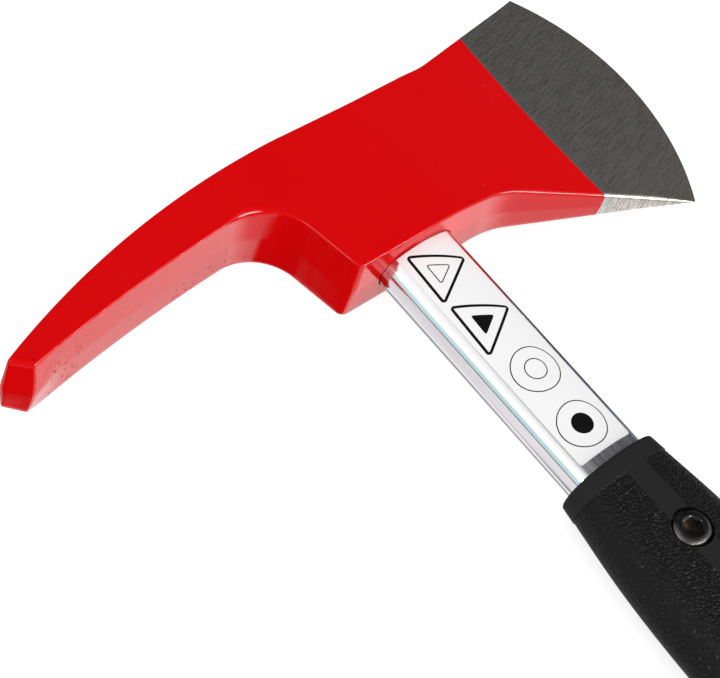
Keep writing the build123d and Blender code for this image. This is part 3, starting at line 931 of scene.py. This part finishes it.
def grained_rubber():
    """Black rubber; the grain attribute says where the moulded grain is, and there the colour is darkened as painted
    shade.
    """
    material, tree, shader = new_material("black_grained_rubber")
    where = add(tree, "ShaderNodeTexCoord").outputs["Object"]
    grain = add(tree, "ShaderNodeAttribute", attribute_name="grain").outputs["Fac"]
    wobble = add(tree, "ShaderNodeTexNoise", {"Vector": where, "Scale": 1100.0, "Detail": 2.0})
    moved = add(tree, "ShaderNodeVectorMath", {0: wobble.outputs["Color"], 1: (0.0006, 0.0006, 0.0006), 2: where},
                operation="MULTIPLY_ADD").outputs[0]
    cells = add(tree, "ShaderNodeTexVoronoi", {"Vector": moved, "Scale": 1080.0}, feature="SMOOTH_F1")
    cells.inputs["Smoothness"].default_value = 0.35
    pebble = ramp(tree, cells.outputs["Distance"], 0.75, 0.10)
    small = noise(tree, moved, 2600.0, 2.0)
    rise = maths(tree, "MULTIPLY_ADD", small, 0.35, pebble)
    relief = maths(tree, "MULTIPLY", rise, grain)
    skin = maths(tree, "MULTIPLY", noise(tree, where, 3500.0, 2.0), 0.05)
    mottle = use_group(tree, MOTTLE, Patch=0.02, Speck=0.0022)
    dark = mixed(tree, mottle.outputs["Patches"], (0.013, 0.013, 0.014, 1), (0.018, 0.0175, 0.019, 1))
    # The grained panels are darkened: painted shade of the small hollows in their grain.
    dark = mixed(tree, maths(tree, "MULTIPLY", grain, 0.5), dark, (0.003, 0.003, 0.003, 1))
    # The raised tops of the grain are coloured lighter.
    worn = mixed(tree, maths(tree, "MULTIPLY", ramp(tree, rise, 0.85, 1.25), grain), dark, (0.022, 0.022, 0.024, 1))
    dust = maths(tree, "MULTIPLY", maths(tree, "MULTIPLY", mottle.outputs["Specks"], grain), 0.10)
    colour = mixed(tree, dust, worn, (0.45, 0.45, 0.45, 1))
    rough = maths(tree, "MULTIPLY_ADD", grain, -0.18, 0.60)
    sheen = maths(tree, "MULTIPLY_ADD", grain, -0.03, 0.13)
    wire(tree, shader, Base_Color=colour, Roughness=rough, Specular_IOR_Level=sheen,
         Normal=bumped(tree, maths(tree, "ADD", relief, skin), 0.00027))
    return material


RUBBER = grained_rubber()


def make_grip():
    rings, cover = [], []
    for distance, inset in grip_rows():
        half_width, half_thickness, offset = grip_size(distance)
        size = (half_width - inset, half_thickness - inset, GRIP_END_RATIO * half_thickness - inset)
        half = oval_length(*size)
        along = grip_columns(half)
        shown = panel_cover(along, half, distance)
        x, z, across, up = oval_at(*size, along)
        sunk = PANEL_DEPTH * shown
        ring = np.column_stack((x - sunk * across + offset, np.full(len(x), GRIP_FRONT - distance), MID + z - sunk * up))
        rings.append(ring)
        cover.append(shown)
    count = len(rings[0])
    bore = []
    for distance in (GRIP_LENGTH, 0):
        angle = np.arctan2(rings[0][:, 2] - MID, rings[0][:, 0])
        dense = tube_ring(0.05, GRIP_FRONT - distance, 1440)
        around = np.arctan2(dense[:, 2] - MID, dense[:, 0])
        nearest = [int(np.argmin(np.abs(np.angle(np.exp(1j * (around - a)))))) for a in angle]
        bore.append(dense[nearest])
        cover.append(np.zeros(count))
    points, faces = stack_rings(rings + bore + rings[:1], close=False)
    cover.append(cover[0])
    grip = mesh_piece("moulded_grip", points, faces, RUBBER)
    for y in SCREW_YS:
        turn = np.linspace(0, 2 * math.pi, 97)[:-1]
        hoops = [np.column_stack((SCREW_X + RECESS_RADIUS * np.cos(turn), y + RECESS_RADIUS * np.sin(turn), np.full(96, z)))
                 for z in (-10, 50)]
        grip = cut_from(grip, mesh_piece("recess_cutter", *stack_rings(hoops), RUBBER))
    mark_grain(grip)
    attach(grip, ROOT)
    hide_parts("grip_sleeve")


def mark_grain(grip):
    """Writes the grain attribute: 1 on the outer skin of the panels."""
    mesh = grip.data
    places = np.empty(len(mesh.vertices) * 3)
    mesh.vertices.foreach_get("co", places)
    places = places.reshape(-1, 3) / MM
    attribute = mesh.attributes.new("grain", "FLOAT", "POINT")
    values = []
    for x, y, z in places:
        distance = GRIP_FRONT - y
        inside = COLLAR < distance < GRIP_LENGTH - COLLAR
        _, _, offset = grip_size(min(max(distance, 0), GRIP_LENGTH))
        values.append(1.0 if inside and not STRIP_LEFT - 0.05 < x - offset < STRIP_RIGHT + 0.05 else 0.0)
    attribute.data.foreach_set("value", values)


make_grip()


# ---- The butt cap ------------------------------------------------------------------------
# Hard black plastic cap that closes the grip's end; its spigot sits inside the tube.
def cap_plastic():
    """Fine-grained moulded plastic."""
    material, tree, shader = new_material("black_cap_plastic")
    where = add(tree, "ShaderNodeTexCoord").outputs["Object"]
    mottle = use_group(tree, MOTTLE, Patch=0.015, Speck=0.0015)
    colour = mixed(tree, mottle.outputs["Patches"], (0.014, 0.014, 0.015, 1), (0.026, 0.026, 0.028, 1))
    rough = maths(tree, "MULTIPLY_ADD", mottle.outputs["Patches"], 0.15, 0.38)
    wire(tree, shader, Base_Color=colour, Roughness=rough, Normal=bumped(tree, noise(tree, where, 2200.0), 0.00006))
    return material


frame["nodes"]["butt_cap"].data.materials[0] = cap_plastic()


# ---- The grip's screws and sleeve nuts ---------------------------------------------------
# Low-head hex-socket screws from above meet sleeve nuts from below. All are black-oxided
# steel, worn bright on the chamfer and round the socket.
HEAD_TOP = 14.7              # above the mid-plane
HEAD_RADIUS, FACE_RADIUS, HEAD_HEIGHT = 6.5, 4.8, 5.1
SOCKET_HALF, SOCKET_DEPTH = 3.0, 2.6
SHANK_RADIUS, SHANK_LENGTH = 3.9, 12.0


def hexagon(half, y_points=10):
    """Hexagon with as many points on each side, half its size across flats given."""
    corners = polar((0, 0), half / math.cos(math.pi / 6), np.arange(7) * 60.0)
    sides = [corners[i] + np.linspace(0, 1, y_points, endpoint=False)[:, None] * (corners[i + 1] - corners[i])
             for i in range(6)]
    return np.vstack(sides)


def fastener_mesh():
    """Screw head and shank with its socket, the head's face at z = 0."""
    count = 60
    turn = np.arange(count) * 360.0 / count
    profile = [(0.02, -HEAD_HEIGHT - SHANK_LENGTH), (SHANK_RADIUS, -HEAD_HEIGHT - SHANK_LENGTH),
               (SHANK_RADIUS, -HEAD_HEIGHT), (HEAD_RADIUS, -HEAD_HEIGHT), (HEAD_RADIUS, -1.35),
               (HEAD_RADIUS - 0.08, -1.15), (HEAD_RADIUS - 0.3, -0.95), (FACE_RADIUS + 0.9, -0.58),
               (FACE_RADIUS + 0.4, -0.32), (FACE_RADIUS, -0.15), (FACE_RADIUS - 0.4, -0.05), (FACE_RADIUS - 0.8, 0),
               (3.85, 0), (3.75, -0.03)]
    rings = [np.column_stack((polar((0, 0), radius, turn), np.full(count, z))) for radius, z in profile]
    for half, z in ((SOCKET_HALF + 0.05, -0.26), (SOCKET_HALF, -0.36),
                    (SOCKET_HALF, -SOCKET_DEPTH), (SOCKET_HALF - 0.25, -SOCKET_DEPTH - 0.05)):
        rings.append(np.column_stack((hexagon(half), np.full(count, z))))
    for radius, depth in ((2.3, 0.15), (1.0, 0.5), (0.02, 0.8)):
        rings.append(np.column_stack((polar((0, 0), radius, turn), np.full(count, -SOCKET_DEPTH - depth))))
    return stack_rings(rings)


def black_oxide():
    """Black-oxided steel, rubbed through to warm bright metal in patches, with a painted warm glint from the socket's
    floor down.
    """
    material, tree, shader = new_material("worn_black_oxide")
    lines = use_group(tree, SCRATCHES, Length=0.004, Width=0.0002, Turn=0.8)
    mottle = use_group(tree, MOTTLE, Patch=0.004, Speck=0.0007)
    height = add(tree, "ShaderNodeSeparateXYZ", {0: add(tree, "ShaderNodeTexCoord").outputs["Object"]}).outputs["Z"]
    sunk = maths(tree, "ABSOLUTE", maths(tree, "SUBTRACT", height, MID * MM))
    rubbed = maths(tree, "MULTIPLY", ramp(tree, sunk, (HEAD_TOP - 0.02) * MM, (HEAD_TOP - 0.7) * MM),
                   ramp(tree, mottle.outputs["Patches"], 0.30, 0.60))
    tone = mixed(tree, rubbed, (0.045, 0.045, 0.048, 1), (0.11, 0.10, 0.09, 1))
    # From the socket's floor down the colour turns warm brown: a painted glint in the socket.
    tone = mixed(tree, ramp(tree, sunk, (HEAD_TOP - 1.6) * MM, (HEAD_TOP - 2.4) * MM), tone, (0.075, 0.058, 0.046, 1))
    colour = mixed(tree, maths(tree, "MULTIPLY", lines.outputs["Deep"], 0.12), tone, (0.50, 0.45, 0.40, 1))
    rough = maths(tree, "MULTIPLY_ADD", mottle.outputs["Patches"], 0.2, 0.27)
    wire(tree, shader, Base_Color=colour, Metallic=1.0, Roughness=rough,
         Normal=bumped(tree, mottle.outputs["Patches"], 0.00003))
    return material


def fastener_tree():
    """Geometry nodes: the fastener along a line on the upper side, and turned over below."""
    tree = bpy.data.node_groups.new("place_fasteners", "GeometryNodeTree")
    for label, kind in (("Fastener", "Object"), ("First", "Vector"), ("Last", "Vector"), ("Shift", "Vector"),
                        ("Finish", "Material")):
        tree.interface.new_socket(label, in_out="INPUT", socket_type="NodeSocket" + kind)
    tree.interface.new_socket("Geometry", in_out="OUTPUT", socket_type="NodeSocketGeometry")
    given = add(tree, "NodeGroupInput").outputs
    line = add(tree, "GeometryNodeMeshLine", {"Count": 2, "Start Location": given["First"]}, mode="END_POINTS")
    tree.links.new(given["Last"], line.inputs["Offset"])
    shape = add(tree, "GeometryNodeObjectInfo", {"Object": given["Fastener"]})
    upper = add(tree, "GeometryNodeInstanceOnPoints", {"Points": line.outputs[0], "Instance": shape.outputs["Geometry"]})
    lower = add(tree, "GeometryNodeTransform", {"Geometry": upper.outputs[0], "Rotation": (0, math.pi, 0),
                                                "Translation": given["Shift"]})
    both = add(tree, "GeometryNodeJoinGeometry")
    for side in (upper, lower):
        tree.links.new(side.outputs[0], both.inputs[0])
    real = add(tree, "GeometryNodeRealizeInstances", {0: both.outputs[0]})
    done = add(tree, "GeometryNodeSetMaterial", {"Geometry": real.outputs[0], "Material": given["Finish"]})
    add(tree, "NodeGroupOutput", {"Geometry": done.outputs[0]})
    return tree


def make_fasteners():
    finish = black_oxide()
    pattern = mesh_piece("fastener_pattern", *fastener_mesh(), finish)
    holder = bpy.data.objects.new("grip_fasteners", bpy.data.meshes.new("grip_fasteners"))
    bpy.context.scene.collection.objects.link(holder)
    change = holder.modifiers.new("place", "NODES")
    change.node_group = fastener_tree()
    places = [Vector((SCREW_X, y, MID + HEAD_TOP)) * MM for y in SCREW_YS]
    values = {"Fastener": pattern, "First": places[0], "Last": places[1], "Shift": 2 * MM * Vector((SCREW_X, 0, MID)),
              "Finish": finish}
    for item in change.node_group.interface.items_tree:
        if item.in_out == "INPUT":
            change[item.identifier] = values[item.name]
    mesh = bpy.data.meshes.new_from_object(holder.evaluated_get(bpy.context.evaluated_depsgraph_get()))
    for used in (holder, pattern):
        bpy.data.objects.remove(used)
    fasteners = finish_piece("grip_fasteners", mesh, finish)
    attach(fasteners, ROOT)
    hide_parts("front_grip_screw", "front_sleeve_nut", "rear_grip_screw", "rear_sleeve_nut")


make_fasteners()
